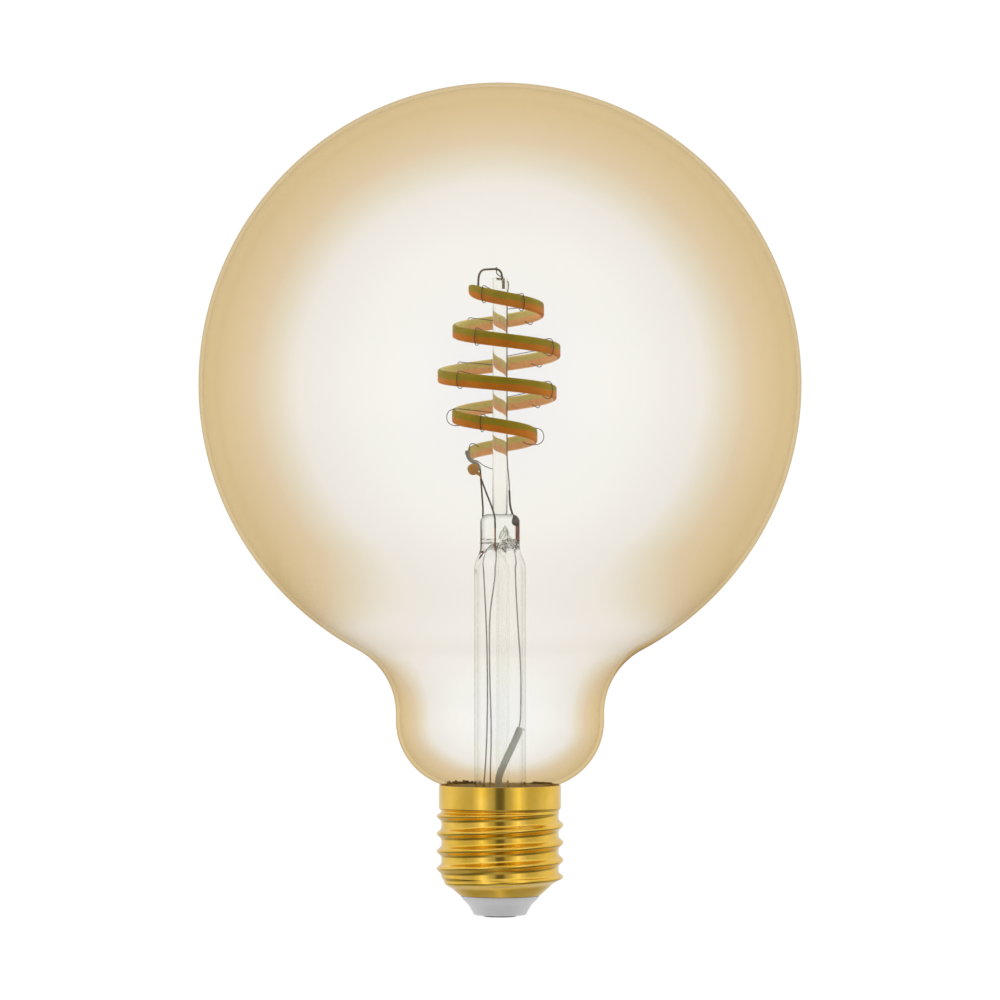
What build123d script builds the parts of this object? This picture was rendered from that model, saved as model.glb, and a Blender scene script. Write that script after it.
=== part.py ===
from build123d import *
from math import cos, pi, sin, sqrt
import os

# A large amber globe lamp with a screw cap, in millimetres. +Z runs up the lamp axis,
# and the origin is the middle of the centre contact's bottom face. -Y is the front, and
# +X is on the right seen from there.

# Driving dimensions
overall_height = 173.0
globe_radius = 62.5
glass_wall = 0.8
waist_radius = 21.6  # where the globe's fillet turns into the neck
waist_fillet = 15.0  # concave fillet between the globe and the waist
shoulder_radius = 14.0  # convex shoulder under the waist
neck_radius = 12.2
neck_bottom = 22.5  # the seal, hidden in the cap
neck_top = 27.5

shell_top = 27.4
shell_sheet = 0.3
skirt_radius = 12.65
skirt_bottom = 22.5
thread_root_radius = 12.15
thread_crest_radius = 13.15
thread_pitch = 3.629  # seven threads to the inch
thread_zero = 8.2  # height of the crest where the thread passes +X
thread_start_turn = 0.15  # where the ridge begins, in turns from +X
thread_turns = 3.35

stem_radius = 5.35
stem_wall = 0.6
stem_shoulder = 72.5
press_bottom = 75.5
press_top = 83.6
press_width = 8.2
press_depth = 4.4
exhaust_x = 0.6
exhaust_radius = 1.35
exhaust_wall = 0.4
exhaust_bottom = 21.6
rod_radius = 1.6
rod_bottom = 82.0
rod_top = 132.6

filament_turns = 4
filament_top = 130.6  # height of the strip's middle at its start
# The hand-wound coil at each half turn: its radius, and how far it is below its start.
coil = [
    (6.4, 0.0),
    (8.6, 4.7),
    (9.3, 9.0),
    (12.0, 13.2),
    (12.4, 18.4),
    (11.2, 21.9),
    (9.4, 26.7),
    (7.2, 30.9),
    (6.3, 34.7),
]
strip_height = 2.9
strip_substrate = 0.3
strip_thickness = 1.1
steps_per_turn = 16

lead_diameter = 0.45
seal_diameter = 0.35
support_diameter = 0.25
wire_bend = 0.9

board_bottom = 8.5
board_top = 20.5
board_half_width = 8.0
board_half_thickness = 0.5
liner_radius = 11.5
liner_wall = 0.5


def finish(built, name):
    """Labels a finished piece and writes its STEP file."""
    built.part.label = name
    export_step(built.part, f"parts/{name}.step")


def round_wire(points, diameter, bend=wire_bend):
    """A round wire of straight runs joined by tangent bends."""
    with BuildPart() as wire:
        with BuildLine() as route:
            if len(points) == 2:
                Line(*points)
            else:
                FilletPolyline(*points, radius=bend)
        with BuildSketch(Plane(origin=route.line @ 0, z_dir=route.line % 0)):
            Circle(diameter / 2)
        sweep()
    return wire


os.makedirs("parts", exist_ok=True)

# ---------------------------------------------------------------- glass envelope

globe_centre = overall_height - globe_radius
waist_centre_x = waist_radius + waist_fillet
shoulder_centre_x = waist_radius - shoulder_radius


def envelope_outline(inset):
    """The half outline from the top of the globe down to the neck, moved in by inset."""
    globe = globe_radius - inset
    waist = waist_fillet + inset
    shoulder = shoulder_radius - inset
    neck = neck_radius - inset
    waist_centre_z = globe_centre - sqrt((globe_radius + waist_fillet) ** 2 - waist_centre_x**2)
    shoulder_centre_z = neck_top + sqrt(shoulder_radius**2 - (neck_radius - shoulder_centre_x) ** 2)
    neck_corner = shoulder_centre_z - sqrt(shoulder**2 - (neck - shoulder_centre_x) ** 2)
    share = globe_radius / (globe_radius + waist_fillet)
    tangent_x = waist_centre_x * share
    tangent_z = globe_centre + (waist_centre_z - globe_centre) * share
    scale = globe / globe_radius
    joint = (tangent_x * scale, globe_centre + (tangent_z - globe_centre) * scale)
    RadiusArc((0, globe_centre + globe), (globe, globe_centre), globe)
    RadiusArc((globe, globe_centre), joint, globe)
    waist_end = (waist_radius - inset, waist_centre_z)
    RadiusArc(joint, waist_end, -waist)
    shoulder_start = (waist_radius - inset, shoulder_centre_z)
    Line(waist_end, shoulder_start)
    RadiusArc(shoulder_start, (neck, neck_corner), shoulder)
    Line((neck, neck_corner), (neck, neck_bottom))


with BuildPart() as glass_envelope:
    with BuildSketch(Plane.XZ):
        with BuildLine():
            envelope_outline(0)
            envelope_outline(glass_wall)
            Line((neck_radius, neck_bottom), (neck_radius - glass_wall, neck_bottom))
            Line((0, overall_height), (0, overall_height - glass_wall))
        make_face()
    revolve(axis=Axis.Z)
finish(glass_envelope, "glass_envelope")

# ------------------------------------------------------- lead wires and their seals

# Each lead runs down from the filament to the press, through it as a short seal wire,
# and on down the stem to the driver board. Points are (x, y, z).
cool_seal = [(-3.5, 0, 78.2), (-3.5, 0, 73.8)]
warm_seal = [(-1.0, -1.6, 80.7), (-1.0, -1.6, 76.0)]
common_seals = [
    [(3.1, 0, 81.4), (3.1, 0, 77.6)],
    [(3.1, 0.8, 81.4), (3.1, 0.8, 77.6)],
]
cool_inner_route = [(-4.1, -1.0, 92.9), (-3.8, -0.8, 87.5), (-3.5, 0, 84.3), (-3.5, 0, 78.2)]
warm_inner_route = [(-3.9, -1.7, 90.9), (-2.3, -1.7, 86.5), (-1.0, -1.6, 83.4), (-1.0, -1.6, 80.7)]
common_inner_route = [(1.95, 0, 88.5), (2.0, 0, 85.5), (2.6, 0, 83.6), (2.9, 0, 82.4)]
cool_outer_route = [
    (-3.5, 0, 73.8),
    (-3.4, -0.4, 69),
    (-2.9, -1.6, 57.7),
    (-2.6, -2.3, 43),
    (-3.0, -2.4, 30),
    (-3.6, -1.5, 24.5),
    (-3.6, 0, 21.6),
    (-3.6, 0, board_top),
]
warm_outer_route = [
    (-1.0, -1.6, 76.0),
    (-1.0, -1.7, 72),
    (-1.9, -2.0, 62),
    (-2.1, -2.4, 50),
    (-1.7, -2.6, 38),
    (-1.1, -2.8, 29),
    (-1.8, -1.5, 24.0),
    (-1.8, 0, 21.6),
    (-1.8, 0, board_top),
]
common_outer_route = [
    (3.1, 0, 77.6),
    (3.1, -0.2, 72),
    (3.7, -0.6, 60),
    (4.2, -0.6, 52),
    (4.1, -0.8, 44.5),
    (3.5, -1.6, 39),
    (1.6, -2.7, 34.2),
    (-0.1, -3.3, 30),
    (1.4, -3.0, 25),
    (2.6, 0, 22.0),
    (2.6, 0, board_top),
]
sleeve_diameter = 1.45
sleeve_route = common_outer_route[5:9]


def wire_piece(name, route, diameter):
    """Makes and writes a piece that is one round wire."""
    wire = round_wire(route, diameter)
    finish(wire, name)
    return wire.part


inner_leads = [
    wire_piece("cool_inner_lead", cool_inner_route, lead_diameter),
    wire_piece("warm_inner_lead", warm_inner_route, lead_diameter),
    wire_piece("common_inner_lead", common_inner_route, lead_diameter),
]
seal_wires = [
    wire_piece("cool_seal_wire", cool_seal, seal_diameter),
    wire_piece("warm_seal_wire", warm_seal, seal_diameter),
]
outer_leads = [
    wire_piece("cool_outer_lead", cool_outer_route, seal_diameter),
    wire_piece("warm_outer_lead", warm_outer_route, seal_diameter),
    wire_piece("common_outer_lead", common_outer_route, seal_diameter),
]

with BuildPart() as common_seal_wires:
    for route in common_seals:
        add(round_wire(route, seal_diameter).part)
finish(common_seal_wires, "common_seal_wires")
seal_wires.append(common_seal_wires.part)

with BuildPart() as common_weld_bead:
    with Locations((3.1, 0.35, 81.9)):
        Sphere(0.85)
    add(inner_leads[2], mode=Mode.SUBTRACT)
    add(common_seal_wires.part, mode=Mode.SUBTRACT)
finish(common_weld_bead, "common_weld_bead")

with BuildPart() as common_lead_sleeve:
    add(round_wire(sleeve_route, sleeve_diameter, bend=1.2).part)
    add(outer_leads[2], mode=Mode.SUBTRACT)
finish(common_lead_sleeve, "common_lead_sleeve")

# --------------------------------------------------------------- stem and glass rod

with BuildPart() as exhaust_tube:
    with BuildSketch(Plane.XZ):
        with BuildLine():
            Polyline(
                (0, exhaust_bottom),
                (exhaust_radius, exhaust_bottom + exhaust_radius),
                (exhaust_radius, press_bottom),
                (exhaust_radius - exhaust_wall, press_bottom),
                (exhaust_radius - exhaust_wall, exhaust_bottom + exhaust_radius + 0.2),
                (0, exhaust_bottom + 2 * exhaust_wall),
                close=True,
            )
        make_face()
    revolve(axis=Axis.Z)
exhaust_tube.part = exhaust_tube.part.moved(Location((exhaust_x, 0, 0)))
finish(exhaust_tube, "exhaust_tube")

with BuildPart() as centre_rod:
    with BuildSketch(Plane.XY.offset(rod_bottom)):
        Circle(rod_radius)
    extrude(amount=rod_top - rod_bottom)
    fillet(centre_rod.edges().sort_by(Axis.Z)[-1], radius=0.4)
    fillet(centre_rod.edges().sort_by(Axis.Z)[0], radius=0.6)


def flare_outline(inset):
    """The stem tube's half outline, from its straight part down to its flared rim."""
    tube = stem_radius - inset
    rim = neck_radius - glass_wall
    Line((tube, stem_shoulder), (tube, 29.0))
    Spline((tube, 29.0), (rim, neck_bottom + 0.8 - inset), tangents=[(0, -1), (1, -0.25)])


with BuildPart() as stem_flare:
    with BuildSketch(Plane.XZ):
        with BuildLine():
            flare_outline(0)
            Polyline(
                (neck_radius - glass_wall, neck_bottom + 0.8),
                (neck_radius - glass_wall, neck_bottom + 0.8 - stem_wall),
            )
            flare_outline(stem_wall)
            Polyline(
                (stem_radius - stem_wall, stem_shoulder),
                (0, stem_shoulder),
                (0, stem_shoulder + 1),
                (stem_radius, stem_shoulder + 1),
                (stem_radius, stem_shoulder),
            )
        make_face()
    revolve(axis=Axis.Z)
    with BuildSketch(Plane.XY.offset(stem_shoulder + 1)):
        Circle(stem_radius)
    with BuildSketch(Plane.XY.offset(press_bottom)):
        RectangleRounded(press_width, press_depth, press_depth / 2 - 0.1)
    loft()
    with BuildSketch(Plane.XY.offset(press_bottom)):
        RectangleRounded(press_width, press_depth, press_depth / 2 - 0.1)
    extrude(amount=press_top - press_bottom)
    fillet(stem_flare.edges().group_by(Axis.Z)[-1], radius=1.4)
    for wire in inner_leads + seal_wires + outer_leads:
        add(wire, mode=Mode.SUBTRACT)
    add(common_weld_bead.part, mode=Mode.SUBTRACT)
    add(exhaust_tube.part, mode=Mode.SUBTRACT)
    add(centre_rod.part, mode=Mode.SUBTRACT)
finish(stem_flare, "stem_flare")

# ------------------------------------------------------------------ filament strip


def coil_at(turn):
    """The coil entries before and after a turn, and how far the turn is from one to the other."""
    before = min(int(turn * 2), len(coil) - 2)
    return coil[before], coil[before + 1], turn * 2 - before


def strip_radius(turn):
    """Radius of the strip's middle, for a turn from 0 at its top to its bottom end."""
    (radius, _), (next_radius, _), share = coil_at(turn)
    eased = share - sin(2 * pi * share) / (4 * pi)
    return radius + (next_radius - radius) * eased


def strip_height_at(turn):
    """Height of the strip's middle."""
    (_, depth), (_, next_depth), share = coil_at(turn)
    return filament_top - depth - (next_depth - depth) * share


def strip_point(turn, outward=0.0, up=0.0):
    """A point on the strip: it starts on the left (-X) and passes the front (-Y) first."""
    radius = strip_radius(turn) + outward
    angle = 2 * pi * turn
    return (-radius * cos(angle), -radius * sin(angle), strip_height_at(turn) + up)


def strip_solid(outward, up):
    """What a standing rectangle leaves along the coil, in short straight steps."""
    with BuildPart() as strip:
        for step in range(filament_turns * steps_per_turn + 1):
            turn = step / steps_per_turn
            angle = 2 * pi * turn
            across = Plane(
                origin=strip_point(turn),
                x_dir=(-cos(angle), -sin(angle), 0),
                z_dir=(-sin(angle), cos(angle), 0),
            )
            with BuildSketch(across):
                with Locations(((outward[0] + outward[1]) / 2, (up[0] + up[1]) / 2)):
                    Rectangle(outward[1] - outward[0], up[1] - up[0])
        loft(ruled=True)
    return strip.part


half_substrate = strip_substrate / 2
half_strip = strip_thickness / 2
half_height = strip_height / 2
faces_of_strip = [(-half_strip, -half_substrate), (half_substrate, half_strip)]

with BuildPart() as filament_substrate:
    add(strip_solid((-half_substrate, half_substrate), (-half_height, half_height)))
finish(filament_substrate, "filament_substrate")

with BuildPart() as filament_cool_phosphor:
    for outward in faces_of_strip:
        add(strip_solid(outward, (0, half_height)))
finish(filament_cool_phosphor, "filament_cool_phosphor")

with BuildPart() as filament_warm_phosphor:
    for outward in faces_of_strip:
        add(strip_solid(outward, (-half_height, 0)))
finish(filament_warm_phosphor, "filament_warm_phosphor")

# ------------------------------------------------ filament supports and terminals

# Each support hook stands in the glass rod, reaches out to the strip and loops round it.
support_turns = [0.17, 0.345, 0.62, 0.87, 1.17, 1.42, 1.63, 1.87, 2.13, 2.425, 2.62, 3.03, 3.18, 3.5, 3.93]
hook_clearance = 0.5  # between the strip and the wire that loops round it
hook_anchor_depth = 0.6


def support_hook(turn):
    """A hook in the upright plane through the lamp axis and the strip at this turn."""
    angle = 2 * pi * turn
    inner = strip_radius(turn) - half_strip - hook_clearance
    outer = strip_radius(turn) + half_strip + hook_clearance
    low = strip_height_at(turn) - half_height - hook_clearance
    high = strip_height_at(turn) + half_height + hook_clearance
    profile = [
        (rod_radius - hook_anchor_depth, low - 0.4),
        (inner - 0.8, low - 0.2),
        (outer, low),
        (outer, high),
        (inner, high),
        (inner, strip_height_at(turn)),
    ]
    route = [(-radius * cos(angle), -radius * sin(angle), z) for radius, z in profile]
    return round_wire(route, support_diameter, bend=0.4)


with BuildPart() as filament_support_wires:
    for turn in support_turns:
        add(support_hook(turn).part)
finish(filament_support_wires, "filament_support_wires")

hook_wire_route = [
    (0.5, 0, rod_top - 2.5),
    (0.5, 0, rod_top + 0.6),
    (-0.8, -0.4, 134.5),
    (-4.0, -2.3, 134.1),
    (-4.5, -3.1, 132.4),
    (-4.5, -3.1, 130.6),
]
top_hook_wire = round_wire(hook_wire_route, 0.5, bend=0.6)
finish(top_hook_wire, "top_hook_wire")

return_wire_route = [
    (1.95, 0, 88.5),
    (1.95, 0, 90.0),
    (1.45, -1.3, 94.5),
    (1.45, -1.3, 130.2),
    (1.95, 0.2, 131.6),
    (1.3, 1.6, 132.4),
    (-0.5, 1.5, 133.2),
    (-0.8, 0.3, 134.4),
]
common_return_wire = round_wire(return_wire_route, 0.3, bend=0.5)
finish(common_return_wire, "common_return_wire")

with BuildPart() as filament_top_terminal:
    with BuildSketch(Plane.XY.offset(filament_top - 1.3)):
        with Locations((-4.5, -3.1)):
            RectangleRounded(1.0, 0.7, 0.2)
    extrude(amount=1.3)
    add(top_hook_wire.part, mode=Mode.SUBTRACT)
finish(filament_top_terminal, "filament_top_terminal")

strip_end = strip_height_at(filament_turns)
with BuildPart() as filament_cool_terminal:
    with BuildSketch(Plane.XZ.offset(0.8)):
        with BuildLine():
            Polyline(
                (-6.9, strip_end + 1.2),
                (-5.9, strip_end + 1.2),
                (-3.8, strip_end - 2.2),
                (-3.8, strip_end - 3.6),
                (-4.5, strip_end - 3.6),
                (-6.9, strip_end - 0.2),
                close=True,
            )
        make_face()
    extrude(amount=0.4)
    add(inner_leads[0], mode=Mode.SUBTRACT)
finish(filament_cool_terminal, "filament_cool_terminal")

with BuildPart() as filament_warm_terminal:
    with BuildSketch(Plane.XZ.offset(1.4)):
        with Locations((-5.9, strip_end - 2.9)):
            Circle(1.2)
        with Locations((-4.6, strip_end - 4.3)):
            Rectangle(1.8, 1.1)
    extrude(amount=0.5)
    add(inner_leads[1], mode=Mode.SUBTRACT)
finish(filament_warm_terminal, "filament_warm_terminal")

with BuildPart() as anchored_rod:
    add(centre_rod.part)
    add(filament_support_wires.part, mode=Mode.SUBTRACT)
    add(top_hook_wire.part, mode=Mode.SUBTRACT)
finish(anchored_rod, "centre_rod")

# ----------------------------------------------------------------------- screw cap

thread_root_inner = thread_root_radius - shell_sheet - 0.1
skirt_inner = skirt_radius - shell_sheet
with BuildPart() as screw_shell:
    with BuildSketch(Plane.XZ):
        with BuildLine():
            Polyline(
                (skirt_radius, shell_top),
                (skirt_radius, skirt_bottom),
                (thread_root_radius, 21.9),
                (thread_root_radius, 8.0),
                (11.93, 7.3),
                (10.8, 6.4),
                (10.3, 5.6),
                (9.65, 4.8),
                (8.2, 4.5),
                (8.2, 4.8),
                (9.45, 5.1),
                (10.0, 5.8),
                (10.5, 6.6),
                (11.55, 7.45),
                (thread_root_inner, 8.1),
                (thread_root_inner, 21.9),
                (skirt_inner, 22.35),
                (skirt_inner, shell_top),
                close=True,
            )
        make_face()
    revolve(axis=Axis.Z)
    start_angle = 2 * pi * thread_start_turn
    start_radial = (cos(start_angle), sin(start_angle), 0)
    start_height = thread_zero + thread_pitch * thread_start_turn
    with BuildLine(Plane(origin=(0, 0, start_height), x_dir=start_radial)) as thread_path:
        Helix(thread_pitch, thread_pitch * thread_turns, thread_root_radius)
    with BuildSketch(Plane(origin=thread_path.line @ 0, x_dir=start_radial, z_dir=thread_path.line % 0)):
        with BuildLine():
            bottom = (-0.15, -1.3)
            top = (-0.15, 1.3)
            ThreePointArc(bottom, (thread_crest_radius - thread_root_radius, 0), top)
            Line(top, bottom)
        make_face()
    sweep(path=thread_path.line, is_frenet=True)
finish(screw_shell, "screw_shell")

with BuildPart() as basing_cement:
    with BuildSketch(Plane.XY.offset(22.9)):
        Circle(skirt_inner)
        Circle(neck_radius, mode=Mode.SUBTRACT)
    extrude(amount=4.3)
finish(basing_cement, "basing_cement")

contact_radius = 3.6
contact_thickness = 0.5
pin_radius = 0.9
insulator_top = 6.9
with BuildPart() as cap_insulator:
    with BuildSketch(Plane.XZ):
        with BuildLine():
            Polyline(
                (pin_radius, contact_thickness),
                (5.4, contact_thickness),
                (5.6, 1.0),
                (6.2, 1.9),
                (6.7, 2.7),
                (7.6, 3.5),
                (8.2, 4.4),
                (8.05, 4.5),
                (8.05, 4.8),
                (9.2, 5.15),
                (9.7, 5.8),
                (9.7, insulator_top),
                (pin_radius, insulator_top),
                close=True,
            )
        make_face()
    revolve(axis=Axis.Z)
finish(cap_insulator, "cap_insulator")

with BuildPart() as centre_contact:
    with BuildSketch(Plane.XY):
        Circle(contact_radius)
    extrude(amount=contact_thickness)
    with BuildSketch(Plane.XY.offset(contact_thickness)):
        Circle(pin_radius)
    extrude(amount=insulator_top + 0.5 - contact_thickness)
finish(centre_contact, "centre_contact")

# ------------------------------------------------------- driver and radio electronics

with BuildPart() as driver_liner:
    with BuildSketch(Plane.XY.offset(8.3)):
        Circle(liner_radius)
        Circle(liner_radius - liner_wall, mode=Mode.SUBTRACT)
    extrude(amount=12.7)
    with BuildSketch(Plane.XY.offset(8.3)):
        Circle(liner_radius)
        Circle(liner_radius - 2.0, mode=Mode.SUBTRACT)
    extrude(amount=0.2)
finish(driver_liner, "driver_liner")

front_face = -board_half_thickness
back_face = board_half_thickness
with BuildPart() as driver_board:
    with BuildSketch(Plane.XZ.offset(-back_face)):
        with Locations((0, (board_bottom + board_top) / 2)):
            RectangleRounded(2 * board_half_width, board_top - board_bottom, 0.6)
    extrude(amount=2 * board_half_thickness)
finish(driver_board, "driver_board")


def box_piece(name, x, y, z, edge=0.2):
    """Makes and writes a box between (from, to) pairs, with its upright edges rounded."""
    with BuildPart() as box:
        with BuildSketch(Plane.XY.offset(z[0])):
            with Locations(((x[0] + x[1]) / 2, (y[0] + y[1]) / 2)):
                RectangleRounded(x[1] - x[0], y[1] - y[0], edge)
        extrude(amount=z[1] - z[0])
    finish(box, name)


with BuildPart() as electrolytic_capacitor:
    with BuildSketch(Plane.XY.offset(9.6)):
        with Locations((-4.2, front_face - 3.2)):
            Circle(3.15)
    extrude(amount=9.5)
    fillet(electrolytic_capacitor.edges().filter_by(GeomType.CIRCLE), radius=0.4)
    for pin_x in (-5.4, -3.0):
        pin_y = front_face - 3.2
        pin_route = [(pin_x, pin_y, 9.6), (pin_x, pin_y, 9.05), (pin_x, front_face, 9.05)]
        add(round_wire(pin_route, 0.4, bend=0.25).part)
finish(electrolytic_capacitor, "electrolytic_capacitor")

with BuildPart() as filter_inductor:
    with BuildSketch(Plane.XZ.offset(-front_face)):
        with Locations((4.6, 17.6)):
            Circle(2.3)
    extrude(amount=0.8)
    with BuildSketch(Plane.XZ.offset(-front_face + 0.8)):
        with Locations((4.6, 17.6)):
            Circle(1.9)
    extrude(amount=2.4)
    with BuildSketch(Plane.XZ.offset(-front_face + 3.2)):
        with Locations((4.6, 17.6)):
            Circle(2.3)
    extrude(amount=0.8)
finish(filter_inductor, "filter_inductor")

box_piece("film_capacitor", (1.6, 7.0), (front_face - 3.0, front_face), (9.3, 14.6), edge=0.4)
box_piece("bridge_rectifier", (-6.6, -1.9), (back_face, back_face + 2.4), (9.4, 13.4))
box_piece("led_driver_chip", (-6.6, -1.7), (back_face, back_face + 1.5), (15.4, 19.4))

with BuildPart() as channel_switches:
    for switch_z in (15.6, 18.0):
        with BuildSketch(Plane.XZ.offset(-back_face - 1.1)):
            with Locations((0.3, switch_z)):
                Rectangle(1.4, 1.9)
        extrude(amount=1.1)
finish(channel_switches, "channel_switches")

module_front = 3.4
module_back = 4.2
box_piece("radio_module_board", (-0.5, 8.3), (module_front, module_back), (9.6, 20.4))
box_piece("radio_shield_can", (0.4, 7.4), (module_back, module_back + 1.8), (10.0, 16.4), edge=0.3)

trace_width = 0.4
trace_thickness = 0.15
with BuildPart() as radio_antenna:
    with BuildSketch(Plane.XZ.offset(-module_back - trace_thickness)):
        for leg in range(6):
            with Locations((0.6 + 1.2 * leg, 18.4)):
                Rectangle(trace_width, 2.8)
        for bend in range(5):
            bend_z = 19.6 if bend % 2 == 0 else 17.2
            with Locations((1.2 + 1.2 * bend, bend_z)):
                Rectangle(1.2, trace_width)
    extrude(amount=trace_thickness)
finish(radio_antenna, "radio_antenna")

with BuildPart() as module_header_pins:
    for pin_number in range(4):
        pin_x = 2.0 + 1.5 * pin_number
        with BuildSketch(Plane.XZ.offset(-module_front)):
            with Locations((pin_x, 10.6)):
                Rectangle(0.5, 0.5)
        extrude(amount=module_front - back_face)
finish(module_header_pins, "module_header_pins")

resistor_x, resistor_y = -5.4, 6.2
with BuildPart() as fusible_resistor:
    with BuildSketch(Plane.XY.offset(9.2)):
        with Locations((resistor_x, resistor_y)):
            Circle(1.2)
    extrude(amount=3.9)
    fillet(fusible_resistor.edges().filter_by(GeomType.CIRCLE), radius=0.35)
    upper_lead = [
        (resistor_x, resistor_y, 13.1),
        (resistor_x, resistor_y, 14.4),
        (resistor_x, back_face, 14.4),
    ]
    lower_lead = [
        (resistor_x, resistor_y, 9.2),
        (resistor_x, resistor_y, 7.7),
        (0, 0, 7.7),
    ]
    add(round_wire(upper_lead, 0.5, bend=0.4).part)
    add(round_wire(lower_lead, 0.5, bend=0.4).part)
finish(fusible_resistor, "fusible_resistor")

side_wire_route = [(7.4, -0.7, 19.6), (7.4, -0.9, 21.7), (thread_root_inner - 0.1, -1.4, 21.7)]
side_contact_wire = round_wire(side_wire_route, 0.4, bend=0.6)
finish(side_contact_wire, "side_contact_wire")
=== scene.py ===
from math import asin, atan2, copysign, cos, degrees, pi, radians, sin, sqrt

import bpy
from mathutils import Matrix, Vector


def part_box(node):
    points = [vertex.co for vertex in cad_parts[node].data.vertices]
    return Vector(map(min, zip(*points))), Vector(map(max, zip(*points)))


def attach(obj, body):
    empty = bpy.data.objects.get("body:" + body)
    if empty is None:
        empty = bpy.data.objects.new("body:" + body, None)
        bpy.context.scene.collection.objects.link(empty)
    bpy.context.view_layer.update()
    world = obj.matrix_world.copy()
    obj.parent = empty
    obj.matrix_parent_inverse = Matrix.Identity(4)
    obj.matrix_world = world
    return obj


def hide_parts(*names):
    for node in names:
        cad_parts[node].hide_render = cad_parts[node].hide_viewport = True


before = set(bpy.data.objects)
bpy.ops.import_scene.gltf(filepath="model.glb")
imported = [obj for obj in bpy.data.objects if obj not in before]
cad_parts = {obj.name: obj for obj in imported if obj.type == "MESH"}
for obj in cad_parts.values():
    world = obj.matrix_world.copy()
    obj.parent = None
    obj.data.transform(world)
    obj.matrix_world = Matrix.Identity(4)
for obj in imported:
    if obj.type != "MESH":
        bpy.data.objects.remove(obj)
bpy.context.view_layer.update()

# A globe lamp with a gold-tinted envelope, a coiled two-tone LED strip on a glass rod and a screw
# cap. Lengths in the functions below are millimetres; MM turns them into the scene's metres.
MM = 0.001


def box_mm(node):
    """The lowest and highest corner of a CAD node, in millimetres."""
    low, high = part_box(node)
    return low / MM, high / MM


# ---- sizes from the frame

glass_low, glass_high = box_mm("glass_envelope")
shell_low, shell_high = box_mm("screw_shell")
stem_low, stem_high = box_mm("stem_flare")
rod_high = box_mm("centre_rod")[1]
exhaust_low, exhaust_high = box_mm("exhaust_tube")

GLOBE_RADIUS = glass_high.x
GLOBE_CENTRE = glass_high.z - GLOBE_RADIUS
GLASS_WALL = 0.8
WAIST_RADIUS = 21.6
WAIST_FILLET = 15.0
SHOULDER_RADIUS = 14.0
NECK_RADIUS = 12.2
NECK_TOP = shell_high.z + 0.1

SKIRT_RADIUS = 12.65
CREST_RADIUS = shell_high.x
ROOT_RADIUS = CREST_RADIUS - 1.0
THREAD_PITCH = 3.629
THREAD_ZERO = 8.2  # the height of a crest on the right (+X) side
THREAD_SHARPNESS = 2.1
# Heights over which the thread rises, fades out, and gives way to the plain skirt.
THREAD_RUN_IN = (5.6, 7.6)
THREAD_RUN_OUT = (21.2, 22.3)
SKIRT_START = (21.9, 22.7)
CONE_TOP = 8.3
CONE_FOOT_RADIUS = 8.35
CONE_CURVE = 1.15

SUPPORT_DIAMETER = 0.16
INNER_DIAMETER = 0.36
COMMON_DIAMETER = 0.42
HOOK_DIAMETER = 0.45
RETURN_DIAMETER = 0.22
SEAL_DIAMETER = 0.33
OUTER_DIAMETER = 0.3
SLEEVE_DIAMETER = 1.4

STEM_RADIUS = 5.35
STEM_WALL = 0.6
STEM_SEGMENTS = 160
STEM_SHOULDER = 72.5
CAVITY_RISE = 5.3  # how far the tube's hollow reaches above the shoulder
FLARE_TOP = 26.5
FLARE_CURVE = 1.6
PRESS_BOTTOM = 75.5
PRESS_HALF_WIDTH = 4.1
PRESS_HALF_DEPTH = 2.2
PRESS_DOME = 1.7  # how far down its rounded top reaches
PRESS_GLASS_FROM = 76.3  # where the squeezed glass begins

FILAMENT_TURNS = 4
FILAMENT_TOP = 130.6
# The hand-wound coil at each half turn: its radius, and how far it is below its start.
COIL = (
    (6.4, 0.0),
    (8.6, 4.7),
    (9.3, 9.0),
    (12.0, 13.2),
    (12.4, 18.4),
    (11.2, 21.9),
    (9.4, 26.7),
    (7.2, 30.9),
    (6.3, 34.7),
)
STRIP_HALF_HEIGHT = 1.45
STRIP_HALF_THICKNESS = 0.55
STRIP_CORNER = 0.5
CORE_HALF_HEIGHT = 1.3
CORE_HALF_THICKNESS = 0.12
CORE_CORNER = 0.1

CAMERA_DISTANCE = 1300.0
CAMERA_HEIGHT = 86.5
VIEW_WIDTH = 207.5  # what the picture's width takes in, at the lamp's axis
BACKDROP_LEVEL = 1.02

ROUND_SEGMENTS = 96  # points round a small turned piece
AXIS_RADIUS = 0.01  # stands for 0 on the axis, so that no face collapses
SHARP_DEGREES = 38  # an edge that turns further than this is shaded sharp

# ---- mesh helpers


def mesh_object(name, vertices, faces):
    """A mesh piece from vertices in millimetres."""
    mesh = bpy.data.meshes.new(name)
    mesh.from_pydata([Vector(v) * MM for v in vertices], [], faces)
    mesh.validate()
    for polygon in mesh.polygons:
        polygon.use_smooth = True
    mesh.set_sharp_from_angle(angle=radians(SHARP_DEGREES))
    piece = bpy.data.objects.new(name, mesh)
    bpy.context.scene.collection.objects.link(piece)
    return piece


def skin(rings, capped=False):
    """Vertices and faces of a surface through rings of points, each with as many points."""
    count = len(rings[0])
    vertices = [point for ring in rings for point in ring]
    faces = []
    for row in range(len(rings) - 1):
        base, above = row * count, (row + 1) * count
        for column in range(count):
            following = (column + 1) % count
            faces.append((base + column, base + following, above + following, above + column))
    if capped:
        faces.append(tuple(reversed(range(count))))
        faces.append(tuple(range((len(rings) - 1) * count, len(rings) * count)))
    return vertices, faces


def join_skins(parts):
    """One list of vertices and faces from several."""
    vertices, faces = [], []
    for part_vertices, part_faces in parts:
        start = len(vertices)
        vertices += part_vertices
        faces += [tuple(index + start for index in face) for face in part_faces]
    return vertices, faces


def angles_round(count):
    """Evenly spaced angles round a full turn."""
    return [2 * pi * step / count for step in range(count)]


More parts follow.
